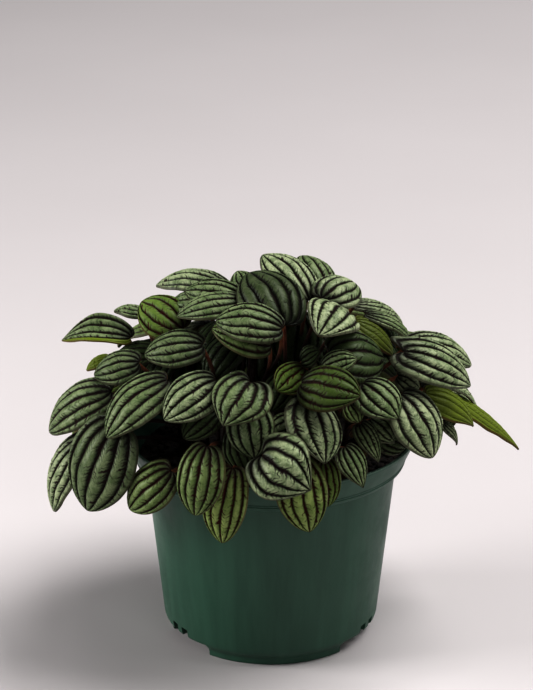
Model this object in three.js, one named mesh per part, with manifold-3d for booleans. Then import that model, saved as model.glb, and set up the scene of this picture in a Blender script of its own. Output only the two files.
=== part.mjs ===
// A potted peperomia: a round green nursery pot filled with potting soil, and leafy stems with striped,
// heart-shaped leaves on long leafstalks. Millimetres, +Z up. The origin is the middle of the pot's flat
// base, on the surface that it stands on. -Y is the front and +X is the right-hand side.
import * as THREE from 'three';
import { mergeVertices } from 'three/addons/utils/BufferGeometryUtils.js';
import Module from 'manifold-3d';

const wasm = await Module();
wasm.setup();

// Pot
const RIM_RADIUS = 76;
const RIM_HEIGHT = 110;
const BAND_RADIUS = 70.2;
const BAND_HEIGHT = 95.5;
const STEP_RADIUS = 65.7;
const STEP_HEIGHT = 93.5;
const WALL_FOOT_RADIUS = 56.6;
const WALL_FOOT_HEIGHT = 7.2;
const BASE_RADIUS = 53;
const WALL = 1.6;
const POT_SIDES = 36;
const WEDGE_STEPS = 4;

// Three shallow recesses divide the base into three feet, and the drain holes open in them
const RECESS_AZIMUTHS = [-27, 93, 213];
const RECESS_SPREAD = 40;
const RECESS_INNER_RADIUS = 24;
const RECESS_WALL_SPREAD = 6;
const DRAIN_OFFSETS = [-4.5, 4.5];
const DRAIN_RADIUS = 56;
const DRAIN_SIZE = [9, 5, 5];
const DRAIN_SINK = 0.5;

// Soil
const SOIL_HEIGHT = 98;
const SOIL_CROWN = 2.5;
const SOIL_SHOULDER_RADIUS = 38;
const SOIL_SHOULDER_RISE = 1.5;
const SOIL_EDGE_DROP = 0.6;

// Gap between pieces that touch
const CLEARANCE = 0.3;

// Corners closer than this are one corner
const WELD_DISTANCE = 1e-4;

// Finish of each kind of piece: colour and roughness
const POT_FINISH = [0x23392d, 0.45];
const SOIL_FINISH = [0x1d1712, 0.95];
const LEAF_FINISH = [0x6f8a68, 0.55];

// Stems and leafstalks
const STEM_RADIUS = 4.6;
const STEM_TOP = 8;
const STEM_DEPTH = 16;
const STEM_SIDES = 7;
const ROOT_RING = 2.9;
const ROOT_DEPTH = 2.5;
const STALK_RADIUS = 1.1;
const STALK_SIDES = 4;
const STALK_STEPS = 3;
const STALK_BEND = 0.33;
const STALK_LEAN = 0.25;
const STALK_NECK = 0.8;
const STALK_JOIN = 0.045;

// Leaf blade. A point of it is given by u, from 0 at the leafstalk to 1 at the tip, and v, from -1 to 1
// across it.
const BLADE_THICKNESS = 0.9;
const WIDTH_RISE = 0.5;
const USUAL_FALL = 0.7;
const USUAL_LOBE = 0.5;
const LOBE_FADE = 8;
const VEINS = [0, 0.42, 0.78, 1];
const RIB = 0.1;
const USUAL_ARCH = 0.16;
const USUAL_CUP = 0.3;
const BLADE_ROWS = [0.1, 0.36, 0.7];
const BLADE_COLUMNS = [-1, -0.66, -0.42, -0.21, 0, 0.21, 0.42, 0.66, 1];
const SMALL_BLADE_COLUMNS = [-1, -0.5, -0.25, 0, 0.25, 0.5, 1];
const SMALL_BLADE_WIDTH = 29;

// The leaves face away from this point low in the plant's middle
const HEART = new THREE.Vector3(4, 0, 95);

// Each leafy stem has its foot's place in the soil and its leaves. A leaf has the point where its stalk
// joins the blade, its tip, its width, and how it is rolled about its length, arched and cupped, how fast it
// falls off to its tip and how far its lobes reach back, where that is unusual.
const LEAFY_STEMS = [
  {
    name: 'leafy_stem_front_left',
    foot: [-34, -28],
    leaves: [
      [[-51, -63, 162], [-81, -69, 134], 28],
      [[-76, -66, 140], [-92, -62, 92], 40, { roll: -18 }],
      [[-80, -42, 148], [-113, -26, 120], 28],
      [[-94, -45, 123], [-111, -38, 81], 28],
      [[-49, -82, 122], [-70, -74, 98], 23],
      [[-66, -38, 162], [-89, -32, 153], 22],
      [[-84, -5, 152], [-95, -2, 144], 11],
    ],
  },
  {
    name: 'leafy_stem_front_middle_left',
    foot: [-24, -42],
    leaves: [
      [[-27, -73, 166], [-52, -80, 148], 26],
      [[-31, -89, 138], [-37, -95, 104], 25],
      [[-27, -66, 147], [-43, -72, 135], 18],
      [[-34, -45, 174], [-63, -41, 167], 24],
    ],
  },
  {
    name: 'leafy_stem_front_middle',
    foot: [-5, -46],
    leaves: [
      [[-10, -81, 168], [-23, -95, 151], 30, { lobe: 1.3, fall: 0.88 }],
      [[-19, -86, 125], [-24, -88, 86], 23],
      [[-4, -96, 136], [19, -108, 123], 34, { lobe: 1.3, fall: 0.88 }],
      [[-13, -72, 153], [-8, -84, 130], 24],
      [[-18, -74, 140], [-12, -80, 120], 16],
    ],
  },
  {
    name: 'leafy_stem_front_middle_right',
    foot: [14, -44],
    leaves: [
      [[12, -84, 128], [19, -88, 92], 26],
      [[26, -78, 126], [28, -80, 102], 16],
      [[20, -74, 154], [26, -92, 130], 31, { lobe: 1.3, fall: 0.8, roll: -20, cup: 0.45 }],
      [[14, -69, 141], [-1, -77, 137], 18],
      [[36, -83, 135], [45, -89, 116], 15, { fall: 1 }],
      [[15, -72, 164], [43, -86, 163], 26],
    ],
  },
  {
    name: 'leafy_stem_front_right',
    foot: [36, -34],
    leaves: [
      [[45, -68, 162], [62, -78, 148], 25],
      [[64, -62, 154], [80, -68, 123], 33],
      [[53, -60, 132], [67, -56, 123], 15],
      [[49, -64, 142], [61, -66, 130], 16, { fall: 1 }],
      [[44, -70, 142], [53, -76, 124], 13, { fall: 1 }],
      [[38, -74, 154], [43, -78, 146], 12],
    ],
  },
  {
    name: 'leafy_stem_right',
    foot: [46, -8],
    leaves: [
      [[66, -52, 173], [100, -40, 150], 27, { lobe: 1.3, fall: 0.88 }],
      [[63, -46, 158], [74, -44, 150], 16],
      [[90, -22, 139], [129, -8, 102], 18, { fall: 1, roll: -15, arch: 0.05 }],
      [[78, -38, 145], [103, -30, 124], 20, { fall: 1.1 }],
      [[88, -30, 126], [95, -28, 113], 9, { fall: 1.2 }],
      [[77, -22, 144], [105, -14, 129], 13, { fall: 1.1, roll: -35 }],
    ],
  },
  {
    name: 'leafy_stem_middle_right',
    foot: [24, -14],
    leaves: [
      [[29, -55, 173], [56, -43, 166], 32],
      [[25, -60, 167], [42, -64, 174], 16],
      [[69, -30, 169], [102, -18, 153], 22],
      [[43, -25, 179], [62, -19, 158], 20],
      [[48, -16, 180], [73, -6, 159], 14],
      [[42, -4, 181], [68, 12, 164], 15],
      [[30, -36, 150], [35, -51, 138], 15],
      [[50, -16, 168], [66, -24, 146], 26],
    ],
  },
  {
    name: 'leafy_stem_middle',
    foot: [6, -18],
    leaves: [
      [[7, -47, 185], [-11, -17, 202], 34],
      [[35, -35, 186], [23, -67, 187], 28, { lobe: 1, fall: 0.65, arch: 0.27 }],
      [[16, -56, 166], [3, -64, 157], 18],
      [[15, -50, 167], [24, -52, 174], 12],
      [[26, -27, 192], [42, -9, 194], 26],
      [[10, -40, 156], [0, -59, 144], 19],
    ],
  },
  {
    name: 'leafy_stem_middle_left',
    foot: [-16, -14],
    leaves: [
      [[5, -64, 190], [-27, -60, 192], 24],
      [[0, -60, 180], [-29, -54, 186], 24],
      [[-14, -24, 190], [-43, -16, 192], 20, { roll: -20 }],
      [[-13, -31, 192], [-47, -29, 183], 22],
      [[-11, -14, 188], [-17, -2, 198], 15],
      [[-16, -26, 172], [-32, -34, 150], 26],
    ],
  },
  {
    name: 'leafy_stem_left',
    foot: [-44, -2],
    leaves: [
      [[-72, -8, 164], [-108, 4, 158], 19, { fall: 1, roll: -8, cup: -0.5 }],
      [[-65, 20, 167], [-82, 24, 167], 18],
      [[-45, -22, 174], [-66, -4, 182], 25],
      [[-56, -16, 159], [-81, -10, 153], 18],
      [[-23, -19, 185], [-52, -5, 181], 20, { roll: -15 }],
      [[-24, -3, 191], [-59, 13, 185], 23],
      [[-50, -12, 158], [-62, -24, 136], 26],
    ],
  },
  {
    name: 'leafy_stem_top',
    foot: [6, 10],
    leaves: [
      [[19, -21, 189], [-4, 6, 204], 28],
      [[28, -1, 187], [17, 22, 198], 24],
      [[-12, 14, 179], [-44, 28, 166], 28],
      [[28, 12, 175], [56, 30, 158], 24],
      [[8, 28, 178], [12, 62, 162], 29],
      [[2, 5, 176], [-22, 11, 168], 21],
      [[36, 2, 167], [53, 12, 155], 18],
      [[13, -6, 177], [11, -14, 149], 28],
      [[0, -2, 161], [-1, -10, 135], 24],
    ],
  },
];

// The stems behind, whose leaves lie in rings over a dome round the plant's middle. A leaf has its azimuth,
// the elevation of its stalk's end, the elevation of its tip, and its width.
const DOME_RADII = new THREE.Vector3(108, 100, 100);
const STALK_REACH = 0.84;
const TIP_REACH = 1;
const BACK_STEMS = [
  {
    name: 'leafy_stem_right_back',
    foot: [46, 16],
    leaves: [
      [30, 18, -2, 31],
      [51, 20, -6, 32],
      [6, 32, 8, 28],
      [26, 40, 14, 34],
      [14, 47, 22, 30],
    ],
  },
  {
    name: 'leafy_stem_back_right',
    foot: [24, 38],
    leaves: [
      [73, 18, -10, 35],
      [94, 20, -8, 33],
      [50, 38, 11, 32],
      [76, 40, 14, 36],
      [54, 52, 30, 34],
    ],
  },
  {
    name: 'leafy_stem_back_left',
    foot: [-10, 42],
    leaves: [
      [116, 18, -10, 36],
      [139, 20, -8, 34],
      [101, 38, 11, 33],
      [124, 40, 14, 34],
      [92, 50, 26, 33],
      [116, 62, 42, 28],
    ],
  },
  {
    name: 'leafy_stem_left_back',
    foot: [-38, 24],
    leaves: [
      [162, 18, -10, 35],
      [186, 20, -8, 32],
      [150, 38, 11, 33],
      [180, 30, 6, 26],
      [134, 56, 33, 34],
      [152, 50, 27, 24],
    ],
  },
];

const radians = THREE.MathUtils.degToRad;

function domePoint(azimuth, elevation, reach) {
  const level = Math.cos(radians(elevation));
  const direction = new THREE.Vector3(
    level * Math.cos(radians(azimuth)),
    level * Math.sin(radians(azimuth)),
    Math.sin(radians(elevation)),
  );
  return direction.multiply(DOME_RADII).multiplyScalar(reach).add(HEART);
}

function solidOf(geometry) {
  const bare = geometry.clone();
  bare.deleteAttribute('normal');
  bare.deleteAttribute('uv');
  const welded = mergeVertices(bare, WELD_DISTANCE);
  const corners = [];
  const index = welded.index.array;
  for (let i = 0; i < index.length; i += 3) {
    const [a, b, c] = [index[i], index[i + 1], index[i + 2]];
    if (a !== b && b !== c && c !== a) {
      corners.push(a, b, c);
    }
  }
  return new wasm.Manifold(new wasm.Mesh({
    numProp: 3,
    vertProperties: new Float32Array(welded.attributes.position.array),
    triVerts: new Uint32Array(corners),
  }));
}

function geometryOf(solid) {
  const mesh = solid.getMesh();
  const geometry = new THREE.BufferGeometry();
  geometry.setAttribute('position', new THREE.BufferAttribute(new Float32Array(mesh.vertProperties), 3));
  geometry.setIndex(new THREE.BufferAttribute(new Uint32Array(mesh.triVerts), 1));
  geometry.computeVertexNormals();
  return geometry;
}

function joined(solids) {
  return solids.reduce((whole, solid) => whole.add(solid));
}

function relativeWidth(leaf, u) {
  const widest = WIDTH_RISE / (WIDTH_RISE + leaf.fall);
  const shape = (t) => t ** WIDTH_RISE * (1 - t) ** leaf.fall;
  return shape(u) / shape(widest);
}

// How far the blade bulges at v between the sunken veins, from 0 to 1
function bulge(v) {
  const across = Math.abs(v);
  const outer = VEINS.findIndex((vein, i) => i > 0 && across <= vein);
  const t = (across - VEINS[outer - 1]) / (VEINS[outer] - VEINS[outer - 1]);
  return 4 * t * (1 - t);
}

function leafOf([attach, tip, width, form = {}]) {
  const columns = width < SMALL_BLADE_WIDTH ? SMALL_BLADE_COLUMNS : BLADE_COLUMNS;
  const start = new THREE.Vector3(...attach);
  const end = new THREE.Vector3(...tip);
  const along = end.clone().sub(start);
  const length = along.length();
  along.normalize();
  const outward = start.clone().add(end).multiplyScalar(0.5).sub(HEART);
  const normal = outward.addScaledVector(along, -outward.dot(along)).normalize();
  normal.applyAxisAngle(along, radians(form.roll ?? 0));
  const across = new THREE.Vector3().crossVectors(normal, along);
  const arch = form.arch ?? USUAL_ARCH;
  const cup = form.cup ?? USUAL_CUP;
  const fall = form.fall ?? USUAL_FALL;
  const lobe = form.lobe ?? USUAL_LOBE;
  return { start, along, normal, across, length, width, arch, cup, fall, lobe, columns };
}

function backLeafOf([azimuth, stalkElevation, tipElevation, width]) {
  const attach = domePoint(azimuth, stalkElevation, STALK_REACH);
  const tip = domePoint(azimuth, tipElevation, TIP_REACH);
  return { ...leafOf([attach.toArray(), tip.toArray(), width]), columns: SMALL_BLADE_COLUMNS };
}

const ALL_STEMS = [
  ...LEAFY_STEMS.map((stem) => ({ ...stem, leaves: stem.leaves.map(leafOf) })),
  ...BACK_STEMS.map((stem) => ({ ...stem, leaves: stem.leaves.map(backLeafOf) })),
];

function bladePoint(leaf, u, v) {
  const halfWidth = leaf.width / 2;
  const relative = relativeWidth(leaf, u);
  const spread = v * relative;
  const reach = u - leaf.lobe * v * v * Math.sqrt(u) * (1 - u) ** LOBE_FADE;
  const height = leaf.arch * leaf.length * 4 * reach * (1 - reach)
    - leaf.cup * halfWidth * spread * spread
    + RIB * halfWidth * Math.sqrt(relative) * bulge(v);
  return leaf.start.clone()
    .addScaledVector(leaf.along, leaf.length * reach)
    .addScaledVector(leaf.across, halfWidth * spread)
    .addScaledVector(leaf.normal, height);
}

// The rings of corners round a leafstalk, from under the blade down to its root on the stem
function stalkRings(leaf, root) {
  const neck = BLADE_THICKNESS / 2 + STALK_NECK;
  const top = bladePoint(leaf, STALK_JOIN, 0).addScaledVector(leaf.normal, -neck);
  const arrival = leaf.normal.clone().addScaledVector(leaf.along, STALK_LEAN).normalize();
  const rise = root.distanceTo(top);
  const route = new THREE.CubicBezierCurve3(
    top,
    top.clone().addScaledVector(arrival, -rise * STALK_BEND),
    root.clone().add(new THREE.Vector3(0, 0, rise * STALK_BEND)),
    root,
  );
  const { normals, binormals } = route.computeFrenetFrames(STALK_STEPS);
  const back = Math.atan2(leaf.along.dot(binormals[0]), -leaf.along.dot(normals[0]));
  return normals.map((normal, step) => {
    const centre = route.getPoint(step / STALK_STEPS);
    return Array.from({ length: STALK_SIDES }, (_, side) => {
      const turn = back + (2 * Math.PI * side) / STALK_SIDES;
      return centre.clone()
        .addScaledVector(normal, STALK_RADIUS * Math.cos(turn))
        .addScaledVector(binormals[step], -STALK_RADIUS * Math.sin(turn));
    });
  });
}

// A leaf as one closed skin. Both faces of the blade have the same triangles, its edge joins them, and the
// under face runs into the leafstalk.
function leafSolid(leaf, root) {
  const { columns } = leaf;
  const rows = [0, ...BLADE_ROWS, 1];
  const last = columns.length - 1;
  const corners = [];
  const triangle = (a, b, c) => corners.push(...a.toArray(), ...b.toArray(), ...c.toArray());
  const quad = (a, b, c, d) => {
    triangle(a, b, c);
    triangle(a, c, d);
  };
  const face = (side) => rows.map((u) => columns.map((v) => (
    bladePoint(leaf, u, v).addScaledVector(leaf.normal, (side * BLADE_THICKNESS) / 2)
  )));
  const upper = face(1);
  const under = face(-1);
  for (let row = 0; row < rows.length - 1; row += 1) {
    for (let column = 0; column < last; column += 1) {
      const turnedCorner = column >= last / 2 ? 0 : 1;
      const places = [[row, column], [row + 1, column], [row + 1, column + 1], [row, column + 1]];
      const order = places.map((_, i) => places[(i + turnedCorner) % 4]);
      quad(...order.map(([r, c]) => upper[r][c]));
      if (row > 0) {
        const [a, b, c, d] = order.map(([r, k]) => under[r][k]);
        triangle(a, c, b);
        triangle(a, d, c);
      }
    }
    const nearUnder = row > 0 ? under[row] : upper[row];
    quad(upper[row][0], nearUnder[0], under[row + 1][0], upper[row + 1][0]);
    quad(upper[row][last], upper[row + 1][last], under[row + 1][last], nearUnder[last]);
  }

  const rings = stalkRings(leaf, root);
  const collar = [upper[0][0], ...under[1]];
  const middle = new THREE.Vector3();
  rings[0].forEach((corner) => middle.addScaledVector(corner, 1 / STALK_SIDES));
  const turnOf = (point) => {
    const arm = point.clone().sub(middle);
    return Math.atan2(arm.dot(leaf.across), arm.dot(leaf.along));
  };
  let outer = 0;
  let inner = 0;
  while (outer < collar.length || inner < STALK_SIDES) {
    const outerTurn = outer + 1 < collar.length ? turnOf(collar[outer + 1]) : Math.PI;
    const innerTurn = inner + 1 < STALK_SIDES ? turnOf(rings[0][inner + 1]) : Math.PI;
    const outerPoint = collar[outer % collar.length];
    const innerPoint = rings[0][inner % STALK_SIDES];
    if (inner === STALK_SIDES || (outer < collar.length && outerTurn <= innerTurn)) {
      triangle(outerPoint, innerPoint, collar[(outer + 1) % collar.length]);
      outer += 1;
    } else {
      triangle(outerPoint, innerPoint, rings[0][(inner + 1) % STALK_SIDES]);
      inner += 1;
    }
  }
  for (let step = 0; step < STALK_STEPS; step += 1) {
    for (let side = 0; side < STALK_SIDES; side += 1) {
      const next = (side + 1) % STALK_SIDES;
      quad(rings[step][side], rings[step + 1][side], rings[step + 1][next], rings[step][next]);
    }
  }
  const end = rings[STALK_STEPS];
  for (let side = 1; side < STALK_SIDES - 1; side += 1) {
    triangle(end[0], end[side + 1], end[side]);
  }
  const geometry = new THREE.BufferGeometry();
  geometry.setAttribute('position', new THREE.Float32BufferAttribute(corners, 3));
  return solidOf(geometry);
}

// The leafstalks stand in a ring on the stem's top, in the order of their leaves round it
function rootsOf(foot, leaves) {
  const directions = leaves.map(({ start }) => Math.atan2(start.y - foot[1], start.x - foot[0]));
  const order = leaves.map((_, i) => i).sort((i, j) => directions[i] - directions[j]);
  return leaves.map((_, i) => {
    const turn = directions[order[0]] + (2 * Math.PI * order.indexOf(i)) / leaves.length;
    return new THREE.Vector3(
      foot[0] + ROOT_RING * Math.cos(turn),
      foot[1] + ROOT_RING * Math.sin(turn),
      SOIL_HEIGHT + STEM_TOP - ROOT_DEPTH,
    );
  });
}

function stemSolid(foot) {
  const height = STEM_DEPTH + STEM_TOP;
  const stem = new THREE.CylinderGeometry(STEM_RADIUS, STEM_RADIUS, height, STEM_SIDES);
  stem.rotateX(Math.PI / 2);
  stem.translate(foot[0], foot[1], SOIL_HEIGHT + STEM_TOP - height / 2);
  return solidOf(stem);
}

// A solid of revolution about the Z axis from its profile's radii and heights
function turned(profile) {
  const points = profile.map(([radius, height]) => new THREE.Vector2(radius, height));
  const lathe = new THREE.LatheGeometry(points, POT_SIDES);
  lathe.rotateX(Math.PI / 2);
  return solidOf(lathe);
}

// A wedge of a ring, between two radii and two heights
function wedge(azimuth, spread, innerRadius, outerRadius, low, high) {
  const start = radians(azimuth - spread / 2);
  const end = radians(azimuth + spread / 2);
  const outline = new THREE.Shape();
  outline.absarc(0, 0, outerRadius, start, end, false);
  outline.absarc(0, 0, innerRadius, end, start, true);
  outline.closePath();
  const block = new THREE.ExtrudeGeometry(outline, {
    depth: high - low,
    curveSegments: WEDGE_STEPS,
    bevelEnabled: false,
  });
  block.translate(0, 0, low);
  return solidOf(block);
}

// The inside of the pot from its floor to the rim, drawn in by a gap
function insideProfile(gap) {
  const shelf = WALL_FOOT_HEIGHT + WALL + gap;
  return [
    [BASE_RADIUS - WALL - gap, WALL + gap],
    [BASE_RADIUS - WALL - gap, shelf],
    [WALL_FOOT_RADIUS - WALL - gap, shelf],
    [STEP_RADIUS - WALL - gap, STEP_HEIGHT + WALL],
    [BAND_RADIUS - WALL - gap, BAND_HEIGHT + WALL],
  ];
}

function recessRoof(azimuth, gap) {
  return wedge(
    azimuth,
    RECESS_SPREAD + RECESS_WALL_SPREAD + 2 * gap,
    RECESS_INNER_RADIUS - WALL - gap,
    BASE_RADIUS - WALL / 2,
    WALL / 2,
    WALL_FOOT_HEIGHT + WALL + gap,
  );
}

function potSolid() {
  const outside = [
    [0, 0],
    [BASE_RADIUS, 0],
    [BASE_RADIUS, WALL_FOOT_HEIGHT],
    [WALL_FOOT_RADIUS, WALL_FOOT_HEIGHT],
    [STEP_RADIUS, STEP_HEIGHT],
    [BAND_RADIUS, BAND_HEIGHT],
    [RIM_RADIUS, RIM_HEIGHT],
    [RIM_RADIUS - WALL, RIM_HEIGHT],
  ];
  let pot = turned([...outside, ...insideProfile(0).reverse(), [0, WALL]]);
  for (const azimuth of RECESS_AZIMUTHS) {
    pot = pot.add(recessRoof(azimuth, 0));
    const recess = wedge(azimuth, RECESS_SPREAD, RECESS_INNER_RADIUS, RIM_RADIUS, -WALL, WALL_FOOT_HEIGHT);
    pot = pot.subtract(recess);
    for (const offset of DRAIN_OFFSETS) {
      const drain = new THREE.BoxGeometry(...DRAIN_SIZE);
      drain.translate(DRAIN_RADIUS, 0, WALL_FOOT_HEIGHT + DRAIN_SIZE[2] / 2 - DRAIN_SINK);
      drain.rotateZ(radians(azimuth + offset));
      pot = pot.subtract(solidOf(drain));
    }
  }
  return pot;
}

function soilSolid() {
  const top = [
    [BAND_RADIUS - WALL - CLEARANCE, SOIL_HEIGHT - SOIL_EDGE_DROP],
    [SOIL_SHOULDER_RADIUS, SOIL_HEIGHT + SOIL_SHOULDER_RISE],
    [0, SOIL_HEIGHT + SOIL_CROWN],
  ];
  let soil = turned([[0, WALL + CLEARANCE], ...insideProfile(CLEARANCE), ...top]);
  for (const azimuth of RECESS_AZIMUTHS) {
    soil = soil.subtract(recessRoof(azimuth, CLEARANCE));
  }
  for (const { foot } of ALL_STEMS) {
    const radius = STEM_RADIUS + CLEARANCE;
    const hole = new THREE.CylinderGeometry(radius, radius, STEM_DEPTH * 2, STEM_SIDES);
    hole.rotateX(Math.PI / 2);
    hole.translate(foot[0], foot[1], SOIL_HEIGHT - CLEARANCE);
    soil = soil.subtract(solidOf(hole));
  }
  return soil;
}

const plant = new THREE.Group();

function addNode(name, solid, [color, roughness]) {
  const material = new THREE.MeshStandardMaterial({ color, roughness, metalness: 0 });
  const mesh = new THREE.Mesh(geometryOf(solid), material);
  mesh.name = name;
  plant.add(mesh);
}

addNode('pot', potSolid(), POT_FINISH);
addNode('soil', soilSolid(), SOIL_FINISH);

for (const { name, foot, leaves } of ALL_STEMS) {
  const roots = rootsOf(foot, leaves);
  const solids = leaves.map((leaf, i) => leafSolid(leaf, roots[i]));
  addNode(name, joined([stemSolid(foot), ...solids]), LEAF_FINISH);
}

export default plant;
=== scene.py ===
# A potted peperomia: striped, heart-shaped leaves on reddish leafstalks in a round dark green pot.
# Metres, +Z up, -Y is the front. Lengths are given in millimetres up to the making of each mesh.
import math
import random
from functools import partialmethod

import bmesh
import bpy
import numpy as np
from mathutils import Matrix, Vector, noise


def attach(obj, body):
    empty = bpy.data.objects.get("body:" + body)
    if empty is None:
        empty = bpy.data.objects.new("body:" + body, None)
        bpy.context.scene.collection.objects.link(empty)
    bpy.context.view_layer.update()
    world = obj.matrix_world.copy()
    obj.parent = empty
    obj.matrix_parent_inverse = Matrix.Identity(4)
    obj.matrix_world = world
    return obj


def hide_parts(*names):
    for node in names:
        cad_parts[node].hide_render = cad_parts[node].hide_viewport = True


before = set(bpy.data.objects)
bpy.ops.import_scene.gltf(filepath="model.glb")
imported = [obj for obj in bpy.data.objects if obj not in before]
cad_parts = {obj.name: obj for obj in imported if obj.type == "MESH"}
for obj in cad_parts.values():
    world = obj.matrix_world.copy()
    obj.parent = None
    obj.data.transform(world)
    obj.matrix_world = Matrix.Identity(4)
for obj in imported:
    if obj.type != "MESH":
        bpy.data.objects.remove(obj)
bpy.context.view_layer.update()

MM = 0.001
TURN = 2 * math.pi

# Camera, fitted to the photograph: what it looks at, how far away it is, how far down it looks, its lens
CAMERA_TARGET = (-2.2, 0.0, 157.2)
CAMERA_DISTANCE = 1289.0
CAMERA_PITCH = 20.51
CAMERA_LENS, CAMERA_SENSOR, CAMERA_CLIP_END = 130.4, 36.0, 50.0

# The studio, in metres. Each soft box has its size, its power, its place and the height that it faces.
LIGHTS = [
    ("overhead", (2.5, 2.0), 152.0, (1.5, 0.25, 3.0), 0.15),
    ("front", (0.9, 0.9), 4.0, (0.6, -1.5, 0.9), 0.1),
    ("right_strip", (0.5, 0.4), 1.1, (1.15, -0.12, 0.42), 0.05),
    ("left_strip", (0.5, 0.4), 14.0, (-1.15, -0.12, 0.42), 0.05),
]
WORLD_COLOUR = (0.85, 0.87, 0.9, 1.0)
WORLD_STRENGTH = 0.13
EXPOSURE, GAMMA = 0.37, 0.72
FLOOR_SIZE = 12.0

# The frame's own sizes of the pot
RIM_RADIUS, RIM_HEIGHT = 76.0, 110.0
BAND_RADIUS, BAND_HEIGHT = 70.2, 95.5
STEP_RADIUS, STEP_HEIGHT = 65.7, 93.5
WALL_FOOT_RADIUS, WALL_FOOT_HEIGHT = 56.6, 7.2
BASE_RADIUS = 53.0
WALL = 1.6
RECESS_AZIMUTHS = (-27, 93, 213)
RECESS_SPREAD = 40
RECESS_INNER_RADIUS = 24.0
RECESS_WALL_SPREAD = 6
DRAIN_OFFSETS = (-4.5, 4.5)
DRAIN_RADIUS = 56.0
DRAIN_SIZE = (9.0, 5.0, 5.0)
DRAIN_SINK = 0.5

# How finely it is made
POT_SIDES = 192
ROUNDING_STEPS = 5
WEDGE_STEPS = 16
SHARP_ANGLE = 32

# The frame's own sizes of the soil
SOIL_HEIGHT = 98.0
SOIL_CROWN = 2.5
SOIL_SHOULDER_RADIUS, SOIL_SHOULDER_RISE = 38.0, 1.5
SOIL_EDGE_DROP = 0.6
CLEARANCE = 0.3

# Its rough top: how finely it is made, the height and closeness of its waves, and its crumbs
SOIL_SIDES, SOIL_RINGS = 180, 64
LUMP_WAVES = ((1.1, 0.09), (0.9, 0.27), (0.7, 0.7), (0.35, 1.7))
CRUMB_SEED, CRUMB_COUNT, CRUMB_CORNERS = 11, 900, 14
CRUMB_SIZES = (0.7, 0.9, 1.2, 1.7, 2.4)
CRUMB_EDGE, CRUMB_RISE = 3, 0.15

# The frame's own sizes of the stems, stalks and blades, but with the round stalks a touch thinner
STEM_RADIUS = 4.6
STEM_TOP = 8.0
STEM_DEPTH = 16.0
ROOT_RING = 2.9
ROOT_DEPTH = 2.5
ROOT_HEIGHT = SOIL_HEIGHT + STEM_TOP - ROOT_DEPTH
STALK_RADIUS = 1.05
STALK_BEND = 0.33
STALK_LEAN = 0.25
STALK_NECK = 0.8
STALK_JOIN = 0.045
BLADE_THICKNESS = 0.9
WIDTH_RISE = 0.5
USUAL_FALL = 0.7
USUAL_LOBE = 0.5
LOBE_FADE = 8
VEINS = (0.0, 0.42, 0.78, 1.0)
USUAL_ARCH = 0.16
USUAL_CUP = 0.3
HEART = np.array((4.0, 0.0, 95.0))
DOME_RADII = np.array((108.0, 100.0, 100.0))
STALK_REACH, TIP_REACH = 0.84, 1.0

# How finely the leaves are made
BLADE_ROWS = 44
STRIPE_STEPS = (6, 5, 4)
STALK_STEPS = 18
STALK_SIDES = 10
CROWN_ROWS, CROWN_SIDES = 15, 24

# How leaves of one form differ: in their fall, their lobes and their sideways sway
FALL_RANGE = (0.92, 1.08)
LOBE_RANGE = (0.85, 1.15)
SWAY_RANGE = (-0.03, 0.03)

# Relief of a blade. Pitches, depths, waves and thicknesses are in mm, bows, slopes and the pillow's height
# are shares, and a rise says how soon a relief is at its full height.
LOBE_DROOP = 0.35
VEIN_BOW = 0.3
VEIN_BOW_START = 0.1
VEIN_WANDER = 0.025
VEIN_WANDER_WAVES = (1.4, 2.9)
PILLOW_SHARPNESS = 0.55
PILLOW_HEIGHT = 0.095
RELIEF_RISE = 1.4
PUCKER_PITCH = 2.8
PUCKER_HEIGHT = 0.14
PUCKER_BEAT = 0.37
TICK_SLOPE = 0.8
MARGIN_PITCH = 15.0
MARGIN_WAVE = 0.2
MARGIN_ROLL = 1.3
GROOVE_DEPTH = 0.4
GROOVE_WIDTH = 0.5
GROOVE_RISE = 1.5
UNDER_GROOVE = 0.8
EDGE_THICKNESS = 0.5
EDGE_ROUND = 0.22

# Lines of points across a blade, close together at the veins
VEIN_COLUMNS = sorted(
    {0.0} | {
        round(sign * (low + (high - low) * (1 - math.cos(math.pi * step / steps)) / 2), 6)
        for sign in (-1, 1)
        for low, high, steps in zip(VEINS, VEINS[1:], STRIPE_STEPS)
        for step in range(1, steps + 1)
    }
)

# Vein pattern of a blade. Widths are shares of its half width, at the stalk and at the tip. A stripe's reach
# is from its vein to its middle, or to the margin, and changes by a step at each vein.
VEIN_WIDTH = (0.056, 0.013)
SIDE_VEIN_SHARE = 0.52
HALO_WIDTH = (0.1, 0.055)
STRIPE_REACH, STRIPE_REACH_STEPS = 0.21, (-0.03, 0.04)
VEIN_SIDE_STARTS = (0.21, 0.42, 0.6, 0.78)
TICK_PITCH = 2.1
TICK_BEND = 3.2
TICK_SCATTER = 1.8
RAGGEDNESS = 3.6

# Colours on a screen: of the upper face for a grown and a young leaf, of the under face for a usual and a
# lime one
STRIPE_GREEN = ((60, 82, 43), (78, 100, 39))
# Darker towards the veins: partly the leaf's own green, partly painted shade on the sides of the pillowed
# stripes
GREEN_BY_VEIN = ((27, 40, 21), (40, 58, 20))
SILVERY = ((155, 163, 131), (142, 156, 94))
# Painted shade in the creases beside the fine ticks
PAINTED_CREASE_SHADE = ((36, 48, 28), (46, 62, 24))
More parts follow.
